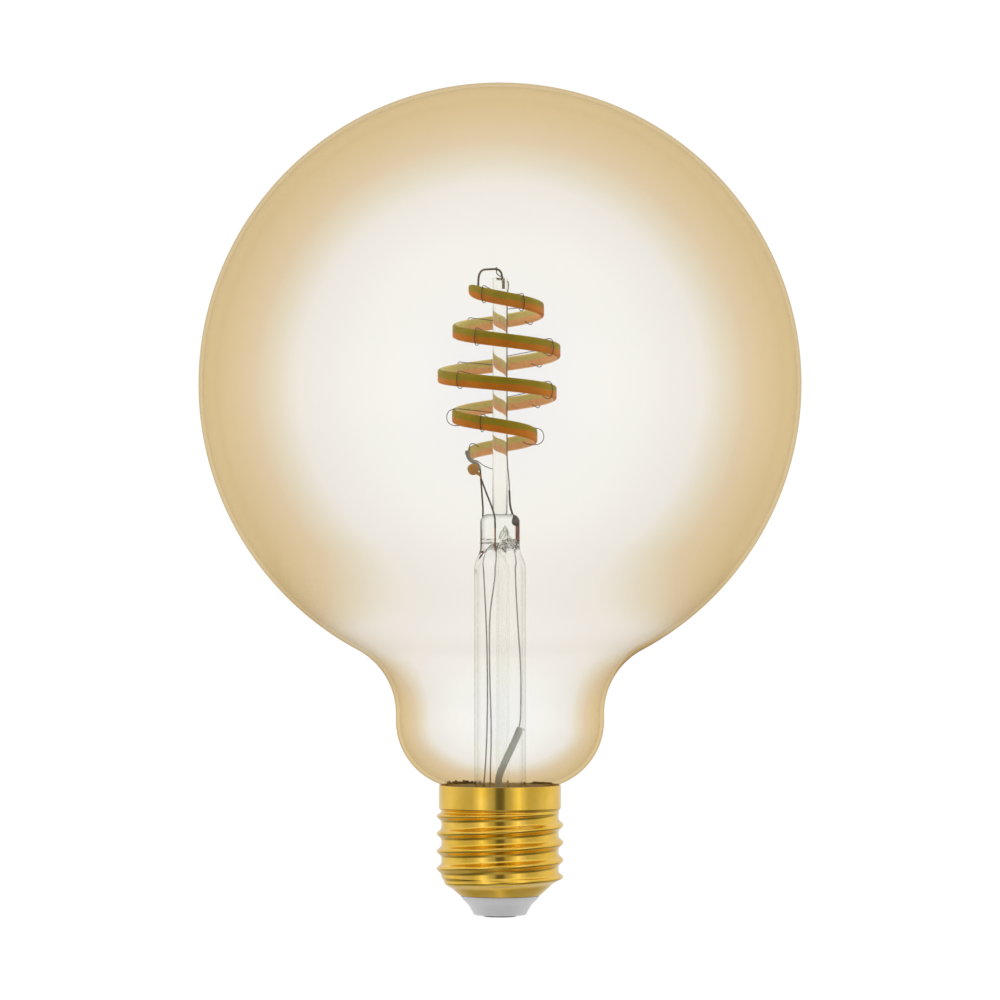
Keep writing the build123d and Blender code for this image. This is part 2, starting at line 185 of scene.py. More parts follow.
def lathe_rings(outline, segments, centre_x=0.0):
    """Rings around the lamp's axis, or an axis beside it, from an outline of (radius, z)."""
    turns = angles_round(segments)
    return [
        [(centre_x + radius * cos(a), radius * sin(a), z) for a in turns] for radius, z in outline
    ]


def arc(centre, radius, start, end, steps):
    """Points of a round stretch, between two angles in degrees."""
    angles = [radians(start + (end - start) * step / steps) for step in range(steps + 1)]
    return [(centre[0] + radius * cos(a), centre[1] + radius * sin(a)) for a in angles]


def smooth_step(low, high, value):
    """0 below low, 1 above high, and a soft change between them."""
    share = min(1.0, max(0.0, (value - low) / (high - low)))
    return share * share * (3 - 2 * share)


def wire_curve(name, routes, diameter):
    """Round wires along smooth curves through routes of points in millimetres."""
    curve = bpy.data.curves.new(name, "CURVE")
    curve.dimensions = "3D"
    curve.bevel_depth = diameter / 2 * MM
    curve.bevel_resolution = 4
    curve.use_fill_caps = True
    curve.resolution_u = 10
    for route in routes:
        spline = curve.splines.new("NURBS")
        spline.points.add(len(route) - 1)
        for point, place in zip(spline.points, route):
            point.co = (*(Vector(place) * MM), 1.0)
        spline.order_u = 3  # stays close to the points
        spline.use_endpoint_u = True
    piece = bpy.data.objects.new(name, curve)
    bpy.context.scene.collection.objects.link(piece)
    return piece


def smooth_over(piece, levels):
    """Rounds a piece off with subdivision."""
    modifier = piece.modifiers.new("round", "SUBSURF")
    modifier.levels = levels
    modifier.render_levels = levels


def place(piece, slot, material, *nodes):
    """Puts a finished piece on the lamp's one body, in place of the CAD nodes named."""
    piece.data.materials.append(material)
    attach(piece, "root")
    if nodes:
        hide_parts(*nodes)
    return piece


def dress(material, *nodes):
    """Gives CAD nodes that stay as they are a finished material."""
    for node in nodes:
        for material_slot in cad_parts[node].material_slots:
            material_slot.material = material


# ---- material helpers


class NodeTree:
    """The nodes of a material or of the world, with short ways to add those used below."""

    def __init__(self, owner):
        owner.use_nodes = True
        self.nodes = owner.node_tree.nodes
        self.links = owner.node_tree.links
        self.nodes.clear()

    def feed(self, socket, value):
        """Gives a socket a plain value, or a link from another node's output."""
        if isinstance(value, bpy.types.NodeSocket):
            self.links.new(value, socket)
        else:
            socket.default_value = value

    def add(self, kind, **inputs):
        """Adds a node. An input goes by its name, or by i and its number, as in i0."""
        node = self.nodes.new(kind)
        for key, value in inputs.items():
            numbered = key[0] == "i" and key[1:].isdigit()
            self.feed(node.inputs[int(key[1:]) if numbered else key.replace("_", " ")], value)
        return node

    def ramp(self, value, stops, mode="LINEAR"):
        """A colour ramp with (position, colour) stops."""
        ramp = self.add("ShaderNodeValToRGB", Fac=value)
        ramp.color_ramp.interpolation = mode
        elements = ramp.color_ramp.elements
        while len(elements) < len(stops):
            elements.new(0.5)
        for element, (position, colour) in zip(elements, stops):
            element.position = position
            element.color = (*colour, 1.0)
        return ramp.outputs["Color"]

    def maths(self, operation, first, second=0.0):
        """One arithmetic step."""
        node = self.add("ShaderNodeMath", i0=first, i1=second)
        node.operation = operation
        return node.outputs[0]

    def mix(self, share, first, second, mode="MIX"):
        """A blend of two colours."""
        node = self.nodes.new("ShaderNodeMix")
        node.data_type = "RGBA"
        node.blend_type = mode
        # The node's colour sockets are inputs 6 and 7 and output 2.
        for index, value in ((0, share), (6, first), (7, second)):
            self.feed(node.inputs[index], (*value, 1.0) if isinstance(value, tuple) else value)
        return node.outputs[2]

    def choose(self, share, first, second):
        """A mix of two shaders or of two lights."""
        return self.add("ShaderNodeMixShader", i0=share, i1=first, i2=second).outputs[0]

    def seen_plainly(self, path):
        """1 for what the camera sees directly or through glass, and 0 for every other ray."""
        direct, through_glass = path.outputs["Is Camera Ray"], path.outputs["Is Transmission Ray"]
        return self.maths("MAXIMUM", direct, through_glass)


class Shader(NodeTree):
    """A material."""

    def __init__(self, name):
        self.material = bpy.data.materials.new(name)
        super().__init__(self.material)
        self.output = self.nodes.new("ShaderNodeOutputMaterial")

    def facing(self):
        """0 where the surface faces the camera, and 1 where it is seen edge on."""
        return self.add("ShaderNodeLayerWeight", Blend=0.5).outputs["Facing"]

    def place_vector(self):
        """Where a point is on the object, in metres."""
        return self.nodes.new("ShaderNodeTexCoord").outputs["Object"]

    def noise(self, scale, detail=3.0, stretch=(1, 1, 1)):
        """A noise value from 0 to 1; scale is in cycles per metre."""
        mapping = self.add("ShaderNodeMapping", Vector=self.place_vector(), Scale=stretch)
        place_in = mapping.outputs[0]
        noise = self.add("ShaderNodeTexNoise", Vector=place_in, Scale=scale, Detail=detail)
        return noise.outputs["Fac"]

    def range(self, value, low, high, from_low=0.0, from_high=1.0):
        """Maps a value from one range to another."""
        node = self.add("ShaderNodeMapRange", Value=value)
        node.inputs["From Min"].default_value = from_low
        node.inputs["From Max"].default_value = from_high
        node.inputs["To Min"].default_value = low
        node.inputs["To Max"].default_value = high
        return node.outputs["Result"]

    def tinted(self, first, second):
        """One colour seen through another."""
        return self.mix(1.0, first, second, "MULTIPLY")

    def bump(self, height, strength, distance):
        """A surface normal from a height; distance is in metres."""
        node = self.add("ShaderNodeBump", Height=height, Strength=strength, Distance=distance)
        return node.outputs[0]

    def surface(self, shader):
        """Joins a finished shader to the output."""
        self.links.new(shader, self.output.inputs["Surface"])

    def principled(self, **inputs):
        """The Principled shader, joined to the output."""
        self.surface(self.add("ShaderNodeBsdfPrincipled", **inputs).outputs[0])


def share_of(total, crossings):
    """The tint of one surface, where a look through the whole crosses several alike."""
    return tuple(channel ** (1 / crossings) for channel in total)


# ---- materials


def amber_glass():
    """Thin clear glass with a gold film: nearly clear face on, and gold at a slant."""
    shader = Shader("amber_glass")
    facing = shader.facing()
    patches = shader.noise(22.0, detail=2.0)
    uneven = shader.maths("ADD", facing, shader.range(patches, -0.012, 0.012))
    # The tint is paler round the waist, where the glass leans most. Heights are in metres.
    place_parts = shader.add("ShaderNodeSeparateXYZ", Vector=shader.place_vector())
    normal_parts = shader.add(
        "ShaderNodeSeparateXYZ", Vector=shader.nodes.new("ShaderNodeTexCoord").outputs["Normal"]
    )
    lean = shader.maths("POWER", shader.maths("ABSOLUTE", normal_parts.outputs["Z"]), 1.5)
    above = shader.range(place_parts.outputs["Z"], 1.0, 0.0, 0.060, 0.076)
    beneath = shader.range(place_parts.outputs["Z"], 0.0, 1.0, 0.034, 0.042)
    waist = shader.maths("MULTIPLY", above, beneath)
    waist_paling = shader.maths("MULTIPLY", shader.maths("MULTIPLY", waist, lean), 0.8)
    slanted = shader.maths("MULTIPLY", uneven, shader.maths("SUBTRACT", 1.0, waist_paling))
    # (how slanted, what a look through both walls leaves of white)
    looks = [
        (0.00, (0.832, 0.835, 0.845)),
        (0.11, (0.828, 0.830, 0.788)),
        (0.20, (0.803, 0.783, 0.752)),
        (0.26, (0.783, 0.752, 0.700)),
        (0.33, (0.715, 0.652, 0.522)),
        (0.42, (0.677, 0.550, 0.380)),
        (0.52, (0.660, 0.520, 0.315)),
        (0.66, (0.655, 0.508, 0.286)),
        (0.78, (0.735, 0.580, 0.330)),
        (1.00, (0.830, 0.700, 0.470)),
    ]
    plain_tint = shader.ramp(slanted, [(slant, share_of(look, 2)) for slant, look in looks])
    # The tint darkens to a line round the narrow end where it is seen at a slant, and to a darker gold
    # streak on the right of the waist.
    rim = shader.range(facing, 0.0, 1.0, 0.80, 0.97)
    wide_rim = shader.range(facing, 0.0, 1.0, 0.80, 0.93)
    low_down = shader.range(place_parts.outputs["Z"], 1.0, 0.0, 0.058, 0.068)
    right_side = shader.range(place_parts.outputs["X"], 0.0, 1.0, 0.021, 0.024)
    band_start = shader.range(place_parts.outputs["Z"], 0.0, 1.0, 0.0495, 0.0525)
    band_end = shader.range(place_parts.outputs["Z"], 1.0, 0.0, 0.056, 0.060)
    band = shader.maths("MULTIPLY", band_start, band_end)
    right_waist_streak = shader.maths("MULTIPLY", shader.maths("MULTIPLY", right_side, band), wide_rim)
    white = (1.0, 1.0, 1.0)
    rimmed = shader.mix(shader.maths("MULTIPLY", rim, low_down), white, (0.90, 0.84, 0.70))
    streak = shader.mix(right_waist_streak, white, (0.66, 0.46, 0.12))
    tint = shader.tinted(plain_tint, shader.tinted(rimmed, streak))
    through = shader.add("ShaderNodeBsdfTransparent", Color=tint)
    film = shader.add("ShaderNodeBsdfGlossy", Color=(0.055, 0.041, 0.022, 1.0), Roughness=0.3)
    coated = shader.add("ShaderNodeAddShader", i0=through.outputs[0], i1=film.outputs[0])
    gloss = shader.add("ShaderNodeBsdfGlossy", Color=(0.72, 0.59, 0.36, 1.0), Roughness=0.01)
    reflected = shader.range(shader.maths("POWER", facing, 5.0), 0.0, 0.6)
    shader.surface(shader.choose(reflected, coated.outputs[0], gloss.outputs[0]))
    return shader.material


def inner_skin():
    """The uncoated inside of the envelope: almost nothing but a faint gleam at a slant."""
    shader = Shader("envelope_inside")
    facing = shader.facing()
    streaks = shader.noise(30.0, detail=2.0)
    clear = shader.mix(streaks, (1.0, 1.0, 1.0), (0.99, 0.99, 0.985))
    through = shader.add("ShaderNodeBsdfTransparent", Color=clear)
    gloss = shader.add("ShaderNodeBsdfGlossy", Color=(0.72, 0.60, 0.38, 1.0), Roughness=0.02)
    gleam = shader.maths("MULTIPLY", shader.maths("POWER", facing, 5.0), 0.25)
    shader.surface(shader.choose(gleam, through.outputs[0], gloss.outputs[0]))
    return shader.material


def clear_glass(name, face, edge_start, middle, edge):
    """Polished lamp glass that darkens where it is seen at a slant, from edge_start on."""
    shader = Shader(name)
    facing = shader.facing()
    ripple = shader.noise(60.0, detail=1.0, stretch=(1, 1, 0.3))
    halfway = (edge_start + 1.0) / 2
    tint = shader.ramp(facing, [(0.0, face), (edge_start, face), (halfway, middle), (1.0, edge)])
    shader.principled(
        Base_Color=tint,
        Roughness=0.0,
        IOR=1.47,
        Transmission_Weight=1.0,
        Normal=shader.bump(ripple, 0.02, 0.0001),
    )
    return shader.material


def brass():
    """Bright gold-coloured rolled sheet, with faint dents and handling marks."""
    shader = Shader("brass_shell")
    dents = shader.noise(120.0, detail=3.0)
    patches = shader.noise(240.0, detail=4.0)
    share = shader.range(patches, 0.0, 1.0, 0.35, 0.7)
    colour = shader.mix(share, (0.88, 0.57, 0.10), (0.80, 0.49, 0.045))
    shader.principled(
        Base_Color=colour,
        Metallic=1.0,
        Roughness=shader.range(patches, 0.10, 0.19),
        Normal=shader.bump(dents, 0.05, 0.00006),
    )
    return shader.material


def speckled(name, colour, other, roughness, scale=900.0, metallic=0.0, bump=0.00004):
    """A plain solid finish with fine grain, patches of colour and an uneven gloss."""
    shader = Shader(name)
    grain = shader.noise(scale, detail=5.0)
    patches = shader.noise(scale / 6, detail=2.0)
    shader.principled(
        Base_Color=shader.mix(shader.range(patches, 0.0, 1.0, 0.3, 0.7), colour, other),
        Metallic=metallic,
        Roughness=shader.range(grain, roughness[0], roughness[1]),
        Normal=shader.bump(grain, 0.35, bump),
    )
    return shader.material


def phosphor(name, outer, outer_low, inner, dark):
    """Silicone with phosphor in it: grainy, and paler on the side facing the rod."""
    shader = Shader(name)
    grain = shader.noise(1500.0, detail=4.0)
    patches = shader.noise(260.0, detail=3.0)
    geometry = shader.nodes.new("ShaderNodeNewGeometry")
    flat = shader.add("ShaderNodeVectorMath", i0=shader.place_vector(), i1=(1.0, 1.0, 0.0))
    flat.operation = "MULTIPLY"
    radial = shader.add("ShaderNodeVectorMath", i0=flat.outputs[0])
    radial.operation = "NORMALIZE"
    outward = shader.nodes.new("ShaderNodeVectorMath")
    outward.operation = "DOT_PRODUCT"
    shader.links.new(geometry.outputs["True Normal"], outward.inputs[0])
    shader.links.new(radial.outputs[0], outward.inputs[1])
    outer_colour = shader.mix(shader.range(patches, 0.0, 1.0, 0.35, 0.65), outer, outer_low)
    faces_out = shader.range(outward.outputs["Value"], 0.0, 1.0, -0.25, 0.25)
    sided = shader.mix(faces_out, inner, outer_colour)
    specks = shader.range(grain, 0.0, 1.0, 0.52, 0.75)
    colour = shader.mix(shader.maths("MULTIPLY", specks, 0.35), sided, dark)
    shader.principled(
        Base_Color=colour,
        Roughness=shader.range(grain, 0.35, 0.55),
        Specular_IOR_Level=0.08,
        Normal=shader.bump(grain, 0.25, 0.00003),
    )
    return shader.material


# ---- geometry


def envelope_outline(inset):
    """The half outline from the top of the globe down to the neck, moved in by inset."""
    waist_x = WAIST_RADIUS + WAIST_FILLET
    waist_z = GLOBE_CENTRE - sqrt((GLOBE_RADIUS + WAIST_FILLET) ** 2 - waist_x**2)
    shoulder_x = WAIST_RADIUS - SHOULDER_RADIUS
    shoulder_z = NECK_TOP + sqrt(SHOULDER_RADIUS**2 - (NECK_RADIUS - shoulder_x) ** 2)
    turn = degrees(atan2(waist_z - GLOBE_CENTRE, waist_x))
    neck = NECK_RADIUS - inset
    last = -degrees(asin(sqrt(1 - ((neck - shoulder_x) / (SHOULDER_RADIUS - inset)) ** 2)))
    return (
        arc((0, GLOBE_CENTRE), GLOBE_RADIUS - inset, 90, turn, 110)
        + arc((waist_x, waist_z), WAIST_FILLET + inset, 180 + turn, 180, 24)[1:]
        + arc((shoulder_x, shoulder_z), SHOULDER_RADIUS - inset, 0, last, 30)
        + [(neck, NECK_TOP - 0.5), (neck, NECK_TOP - 2), (neck, glass_low.z)]
    )


def make_envelope(material, inner_material):
    """The blown globe: an outer and an inner surface, one wall apart, closed at the seal."""
    tip = 0.02
    outer = [(max(r, tip), z) for r, z in envelope_outline(0.0)]
    inner = [(max(r, tip), z) for r, z in envelope_outline(GLASS_WALL)]
    outline = inner + list(reversed(outer))
    segments = 220
    piece = mesh_object("envelope_glass", *skin(lathe_rings(outline, segments)))
    place(piece, "amber_glass", material, "glass_envelope")
    piece.data.materials.append(inner_material)
    for polygon in piece.data.polygons:
        polygon.material_index = 1 if polygon.index < segments * (len(inner) - 1) else 0
    return piece


def shell_radius(angle, z):
    """The screw shell's outer radius: a plain skirt, the rolled thread and a cone below."""
    if z >= CONE_TOP:
        base = ROOT_RADIUS + (SKIRT_RADIUS - ROOT_RADIUS) * smooth_step(*SKIRT_START, z)
    else:
        down = (CONE_TOP - z) / (CONE_TOP - shell_low.z)
        base = ROOT_RADIUS - (ROOT_RADIUS - CONE_FOOT_RADIUS) * down**CONE_CURVE
    phase = 2 * pi * (z - THREAD_ZERO) / THREAD_PITCH - angle
    wave = (0.5 + 0.5 * cos(phase)) ** THREAD_SHARPNESS
    fade = smooth_step(*THREAD_RUN_IN, z) * (1 - smooth_step(*THREAD_RUN_OUT, z))
    return base + (CREST_RADIUS - ROOT_RADIUS) * fade * wave


def make_screw_shell(material):
    """The rolled sheet shell, with its thread inside and out and a turned-in rim."""
    segments = 240
    sheet = 0.28
    foot, inner_foot, row = 4.5, 4.75, 0.085
    rim = shell_high.z
    heights = [foot + row * step for step in range(270)]
    heights = [z for z in heights if z < rim - 0.1]
    angles = angles_round(segments)

    def ring(z, inset):
        radii = [shell_radius(a, z) - inset for a in angles]
        return [(radius * cos(a), radius * sin(a), z) for radius, a in zip(radii, angles)]

    outer = [ring(z, 0.0) for z in heights]
    # (how far in from the skirt, height) over the rounded rim
    turned = [(0.0, rim - 0.1), (0.03, rim - 0.03), (0.1, rim)]
    turned += [(sheet - 0.1, rim), (sheet, rim - 0.08)]
    top = lathe_rings([(SKIRT_RADIUS - inset, z) for inset, z in turned], segments)
    inner = [[(x, y, max(z, inner_foot)) for x, y, z in ring(z, sheet)] for z in reversed(heights)]
    piece = mesh_object("shell_brass", *skin(outer + top + inner))
    return place(piece, "brass_shell", material, "screw_shell")


def make_insulator(material):
    """The grey moulding under the shell, with its edges softened."""
    outline = [
        (3.65, 0.45), (5.2, 0.45), (5.45, 0.55), (5.58, 0.8), (5.75, 1.15), (6.2, 1.95),
        (6.65, 2.65), (7.1, 3.1), (7.6, 3.55), (8.0, 4.05), (8.18, 4.35), (8.1, 4.48),
        (7.9, 4.6), (7.9, 6.85), (0.95, 6.85), (0.95, 0.6), (3.6, 0.6),
    ]
    piece = mesh_object("insulator_moulding", *skin(lathe_rings(outline + outline[:1], ROUND_SEGMENTS)))
    return place(piece, "insulator", material, "cap_insulator")


def make_centre_contact(material):
    """The contact disc with a soldered, slightly domed middle, on its pin."""
    outline = [
        (0.02, 0.0), (2.2, 0.0), (3.2, 0.06), (3.55, 0.2), (3.6, 0.35), (3.5, 0.5), (0.9, 0.5),
        (0.9, 7.3), (0.02, 7.4),
    ]
    piece = mesh_object("contact_disc", *skin(lathe_rings(outline, 72)))
    return place(piece, "contact_metal", material, "centre_contact")


def stem_ring(z):
    """A ring of the stem: round below its shoulder, and pressed flat above it."""
    flat = smooth_step(STEM_SHOULDER, PRESS_BOTTOM + 1.3, z)
    below_top = stem_high.z - z
    shrink = 0.0
    if below_top < PRESS_DOME:
        shrink = PRESS_DOME - sqrt(max(0.0, PRESS_DOME**2 - (PRESS_DOME - below_top) ** 2))
    half_x = STEM_RADIUS + (PRESS_HALF_WIDTH - STEM_RADIUS) * flat - shrink
    half_y = STEM_RADIUS + (PRESS_HALF_DEPTH - STEM_RADIUS) * flat - shrink
    squareness = 2 / (2 + 0.9 * flat)
    ring = []
    for a in angles_round(STEM_SEGMENTS):
        x = copysign(abs(cos(a)) ** squareness * half_x, cos(a))
        y = copysign(abs(sin(a)) ** squareness * half_y, sin(a))
        ring.append((x, y, z))
    return ring


def flare_radius(z, inset):
    """The stem tube's radius: straight, and opening out to the seal at its foot."""
    rim = NECK_RADIUS - GLASS_WALL
    opening = 1 - smooth_step(stem_low.z, FLARE_TOP, z)
    return STEM_RADIUS - inset + (rim - STEM_RADIUS) * opening**FLARE_CURVE


def cavity_top_ring(share):
    """A ring of the folded end of the tube's hollow, crumpled where the glass was pressed."""
    radius = (STEM_RADIUS - STEM_WALL) * sqrt(max(0.0004, 1 - share**2.4))
    ring = []
    for a in angles_round(STEM_SEGMENTS):
        fold = 1 + share * (0.14 * sin(3 * a + 1.0) + 0.10 * sin(7 * a))
        x = radius * cos(a) * fold * (1 - 0.20 * share)
        y = radius * sin(a) * fold * (1 - 0.60 * share)
        crease = 0.35 * sin(2 * a + 0.6) + 0.22 * sin(5 * a + 2.0)
        uneven = share**2 * (0.12 * x + crease * radius / 3)
        ring.append((x, y, STEM_SHOULDER + CAVITY_RISE * share + uneven))
    return ring


def hollow(centre, size, folds, spread, crumple):
    """A crumpled hollow inside the pressed glass: an upright drop, wider below by spread."""
    rows, segments = 24, 40
    rings = []
    for row in range(1, rows):
        b = pi * row / rows
        ring = []
        for a in angles_round(segments):
            swell = (1 + crumple * sin(folds * a + 3 * b) * sin(b)) * (1 - spread * cos(b))
            x = centre[0] + size[0] * sin(b) * cos(a) * swell
            y = centre[1] + size[1] * sin(b) * sin(a) * swell
            ring.append((x, y, centre[2] + size[2] * cos(b)))
        rings.append(ring)
    return skin(rings, capped=True)


def make_stem(material, press_material, fold_material):
    """The flared tube and its press as one body of glass, with the hollow inside it."""
    foot = stem_low.z + STEM_WALL
    tube_start = 30.0
    low_heights = [foot + (tube_start - foot) * step / 24 for step in range(25)]
    tube_heights = [tube_start + (STEM_SHOULDER - tube_start) * step / 12 for step in range(1, 13)]
    press_heights = [STEM_SHOULDER + 0.25 * step for step in range(1, 38)]
    top_heights = [stem_high.z - PRESS_DOME * (1 - sin(pi / 2 * step / 10)) for step in range(11)]
    outer_outline = [(flare_radius(z, 0), z) for z in low_heights + tube_heights]
    outer = lathe_rings(outer_outline, STEM_SEGMENTS)
    outer += [stem_ring(z) for z in press_heights if z < stem_high.z - PRESS_DOME - 0.05]
    outer += [stem_ring(z) for z in top_heights]
    inner_outline = [(flare_radius(z, STEM_WALL), z - STEM_WALL) for z in low_heights]
    inner_outline += [(STEM_RADIUS - STEM_WALL, z) for z in tube_heights]
    inner = lathe_rings(inner_outline, STEM_SEGMENTS)
    inner += [cavity_top_ring(step / 14) for step in range(1, 15)]
    whole = list(reversed(inner)) + outer
    # (middle, half sizes, number of folds, spread, how crumpled)
    hollows = [
        hollow((1.0, 0.1, 79.4), (0.95, 0.8, 1.9), 3, 0.75, 0.30),
        hollow((-2.3, 0.0, 78.3), (1.5, 1.0, 0.22), 4, 0.1, 0.50),
        hollow((-1.9, 0.0, 77.6), (1.7, 1.0, 0.30), 3, 0.1, 0.45),
        hollow((2.6, 0.0, 77.9), (1.1, 0.9, 0.55), 3, 0.0, 0.45),
        hollow((0.2, -0.3, 77.3), (1.3, 0.8, 0.30), 5, 0.0, 0.40),
        hollow((2.4, -0.4, 76.9), (1.3, 0.7, 0.25), 4, 0.2, 0.40),
    ]
    body = skin(whole, capped=True)
    piece = mesh_object("stem_glass", *join_skins([body] + hollows))
    place(piece, "clear_glass", material, "stem_flare")
    piece.data.materials.append(press_material)
    piece.data.materials.append(fold_material)
    for polygon in piece.data.polygons:
        if polygon.index >= len(body[1]):
            polygon.material_index = 2
        elif polygon.center.z > PRESS_GLASS_FROM * MM:
            polygon.material_index = 1
    return piece


def make_exhaust_tube(material):
    """The thin pumping tube, sealed at its lower tip."""
    centre = (exhaust_high.x + exhaust_low.x) / 2
    radius = exhaust_high.x - centre
    wall = 0.4
    top = STEM_SHOULDER + 2.0
    bends = [pi / 2 * step / 10 for step in range(11)]
    tip = [(radius * sin(b) + AXIS_RADIUS, exhaust_low.z + radius * (1 - cos(b))) for b in bends]
    outline = tip + [(radius, top), (radius - wall, top)]
    for r, z in reversed(tip):
        outline.append((max(AXIS_RADIUS, r - wall), max(z, exhaust_low.z) + wall * 1.5))
    piece = mesh_object("exhaust_glass", *skin(lathe_rings(outline, ROUND_SEGMENTS, centre)))
    return place(piece, "clear_glass", material, "exhaust_tube")


def make_rod(material):
    """The solid glass rod that carries the strip, with a melted lip at its top."""
    radius = rod_high.x - 0.04
    foot, top = stem_high.z - 0.02, rod_high.z
    taper_start, taper_end = 95.0, 128.5
    outline = [
        (AXIS_RADIUS, foot), (radius - 0.2, foot), (radius, stem_high.z + 0.3),
        (radius - 0.02, taper_start), (radius - 0.05, taper_end),
        (radius - 0.06, top - 1.2), (radius + 0.02, top - 0.5),
        (radius + 0.04, top - 0.25), (radius - 0.05, top - 0.05), (radius - 0.35, top),
        (radius - 0.8, top - 0.12), (0.5, top - 0.5), (AXIS_RADIUS, top - 0.6),
    ]
    piece = mesh_object("rod_glass", *skin(lathe_rings(outline, ROUND_SEGMENTS)))
    return place(piece, "clear_glass", material, "centre_rod")


# ---- filament strip


def along_coil(turn):
    """The coil's radius and its depth below the start, eased from each half turn to the next."""
    before = min(int(turn * 2), len(COIL) - 2)
    share = turn * 2 - before
    eased = share - sin(2 * pi * share) / (4 * pi)
    (radius, depth), (next_radius, next_depth) = COIL[before], COIL[before + 1]
    return radius + (next_radius - radius) * eased, depth + (next_depth - depth) * share


def strip_point(turn, outward=0.0, up=0.0):
    """A point of the coil: it starts on the left (-X) and passes the front (-Y) first."""
    radius, depth = along_coil(turn)
    angle = 2 * pi * turn
    reach = radius + outward
    return (-reach * cos(angle), -reach * sin(angle), FILAMENT_TOP - depth + up)


def strip_section(low, high, half_thickness, corner):
    """The outline of a standing strip between two heights, with round outer corners."""
    points = 9
    outline = []
    for side in (1, -1):
        heights = [low + (high - low) * step / (points - 1) for step in range(points)]
        for up in heights if side == 1 else reversed(heights):
            over = max(0.0, abs(up) - (STRIP_HALF_HEIGHT - corner))
            narrow = corner - sqrt(max(0.0, corner**2 - over**2))
            outline.append((side * (half_thickness - narrow), up))
    return outline


def strip_rings(low, high, half_thickness, corner):
    """Rings along the coil, drawn in at both of its ends; the parting line wavers a little."""
    steps = FILAMENT_TURNS * 110
    start, end = 0.030, FILAMENT_TURNS - 0.025
    # How far along the strip its rounded end reaches: long at the top, short under the tab.
    top_round, foot_round = 4.2, 2.2
    around = 2 * pi * COIL[0][0]
    rings = []
    for step in range(steps + 1):
        turn = start + (end - start) * step / steps
        rounding = min((turn - start) * around / top_round, (end - turn) * around / foot_round, 1.0)
        taper = max(0.15, sqrt(1 - (1 - rounding) ** 2))
        waver = 0.10 * sin(17 * turn) + 0.07 * sin(41 * turn + 1)
        ring = []
        for outward, up in strip_section(low, high, half_thickness, corner):
            at_parting = 1 - min(1.0, abs(up) / STRIP_HALF_HEIGHT)
            lift = (up + waver * at_parting) * taper
            ring.append(strip_point(turn, outward * max(taper, 0.35), lift))
        rings.append(ring)
    return rings


def make_strip(name, low, high, half_thickness, corner, slot, material, node):
    """One band of the filament strip along the whole coil."""
    rings = strip_rings(low, high, half_thickness, corner)
    piece = mesh_object(name, *skin(rings, capped=True))
    return place(piece, slot, material, node)


def support_route(turn, arm_up, tail, proud_out=0.2, proud_up=0.2, side=1):
    """A support wire: out of the rod, over the strip (side 1) or under it (-1), and round it."""
    radius, depth = along_coil(turn)
    high = STRIP_HALF_HEIGHT + proud_up
    out = STRIP_HALF_THICKNESS + proud_out
    profile = [
        (1.3, arm_up),
        (radius * 0.55, arm_up * 0.6 + 0.9),
        (radius - out * 1.4, high * 0.98),
        (radius - out * 0.3, high * 1.12),
        (radius + out * 0.7, high * 1.0),
        (radius + out * 1.15, high * 0.4),
        (radius + out * 1.15, -high * 0.45),
        (radius + out * 0.6, -high * 1.05),
        (radius - out * 0.5, -high * 1.12),
        (radius - out * 1.3, -high * 0.85),
        (radius - out * 1.3 - tail, -high * 0.7),
    ]
    angle = 2 * pi * turn
    middle = FILAMENT_TOP - depth
    return [(-r * cos(angle), -r * sin(angle), middle + up * side) for r, up in profile]


def make_supports(material):
    """All the thin hooks that hold the strip out from the rod, and two wider loops."""
    # (turn along the coil, the arm's height at the rod over the strip's middle, length of tail)
    hooks = [
        (0.17, 0.4, 0.5),
        (0.345, 1.6, 0.5),
        (0.62, 1.2, 0.6),
        (0.87, 0.9, 0.4),
        (1.17, 0.3, 0.6),
        (1.42, 1.5, 0.5),
        (1.63, 0.2, 1.6),
        (1.87, 0.9, 0.4),
        (2.13, 0.2, 0.8),
        (2.425, 1.5, 0.5),
        (2.62, 0.2, 0.8),
        (3.18, 0.2, 1.2),
    ]
    routes = [support_route(*hook) for hook in hooks]
    routes.append(support_route(3.93, 3.6, 0.5, side=-1))
    loop_turns = (3.03, 3.5)
    routes += [support_route(turn, 0.9, 0.4, proud_out=1.1, proud_up=0.15) for turn in loop_turns]
    piece = wire_curve("support_wires", routes, SUPPORT_DIAMETER)
    return place(piece, "lead_metal", material, "filament_support_wires")


# ---- terminals


def make_cool_terminal(material):
    """The crumpled metal tab on the coil's lower end, folded down towards the leads."""
    route = [
        (-6.75, 96.9), (-6.75, 96.1), (-6.5, 95.3), (-6.0, 94.7), (-5.3, 94.35), (-4.7, 93.9),
        (-4.3, 93.2), (-4.0, 92.5),
    ]
    rings = []
    for index, (x, z) in enumerate(route):
        crumple = 0.12 * sin(3.1 * index)
        half_width = 0.62 - 0.04 * index + 0.08 * sin(5.3 * index)
        lean_x, lean_z = (0.8, 0.6) if index > 1 else (1.0, 0.1)
        front, back = -1.16 + crumple, -0.86 + crumple
        rings.append([
            (x - half_width * lean_x, front, z - half_width * lean_z),
            (x, front - 0.1, z),
            (x + half_width * lean_x, front, z + half_width * lean_z),
            (x + half_width * lean_x, back, z + half_width * lean_z),
            (x, back - 0.1, z),
            (x - half_width * lean_x, back, z - half_width * lean_z),
        ])
    piece = mesh_object("cool_tab", *skin(rings, capped=True))
    smooth_over(piece, 2)
    return place(piece, "terminal_metal", material, "filament_cool_terminal")


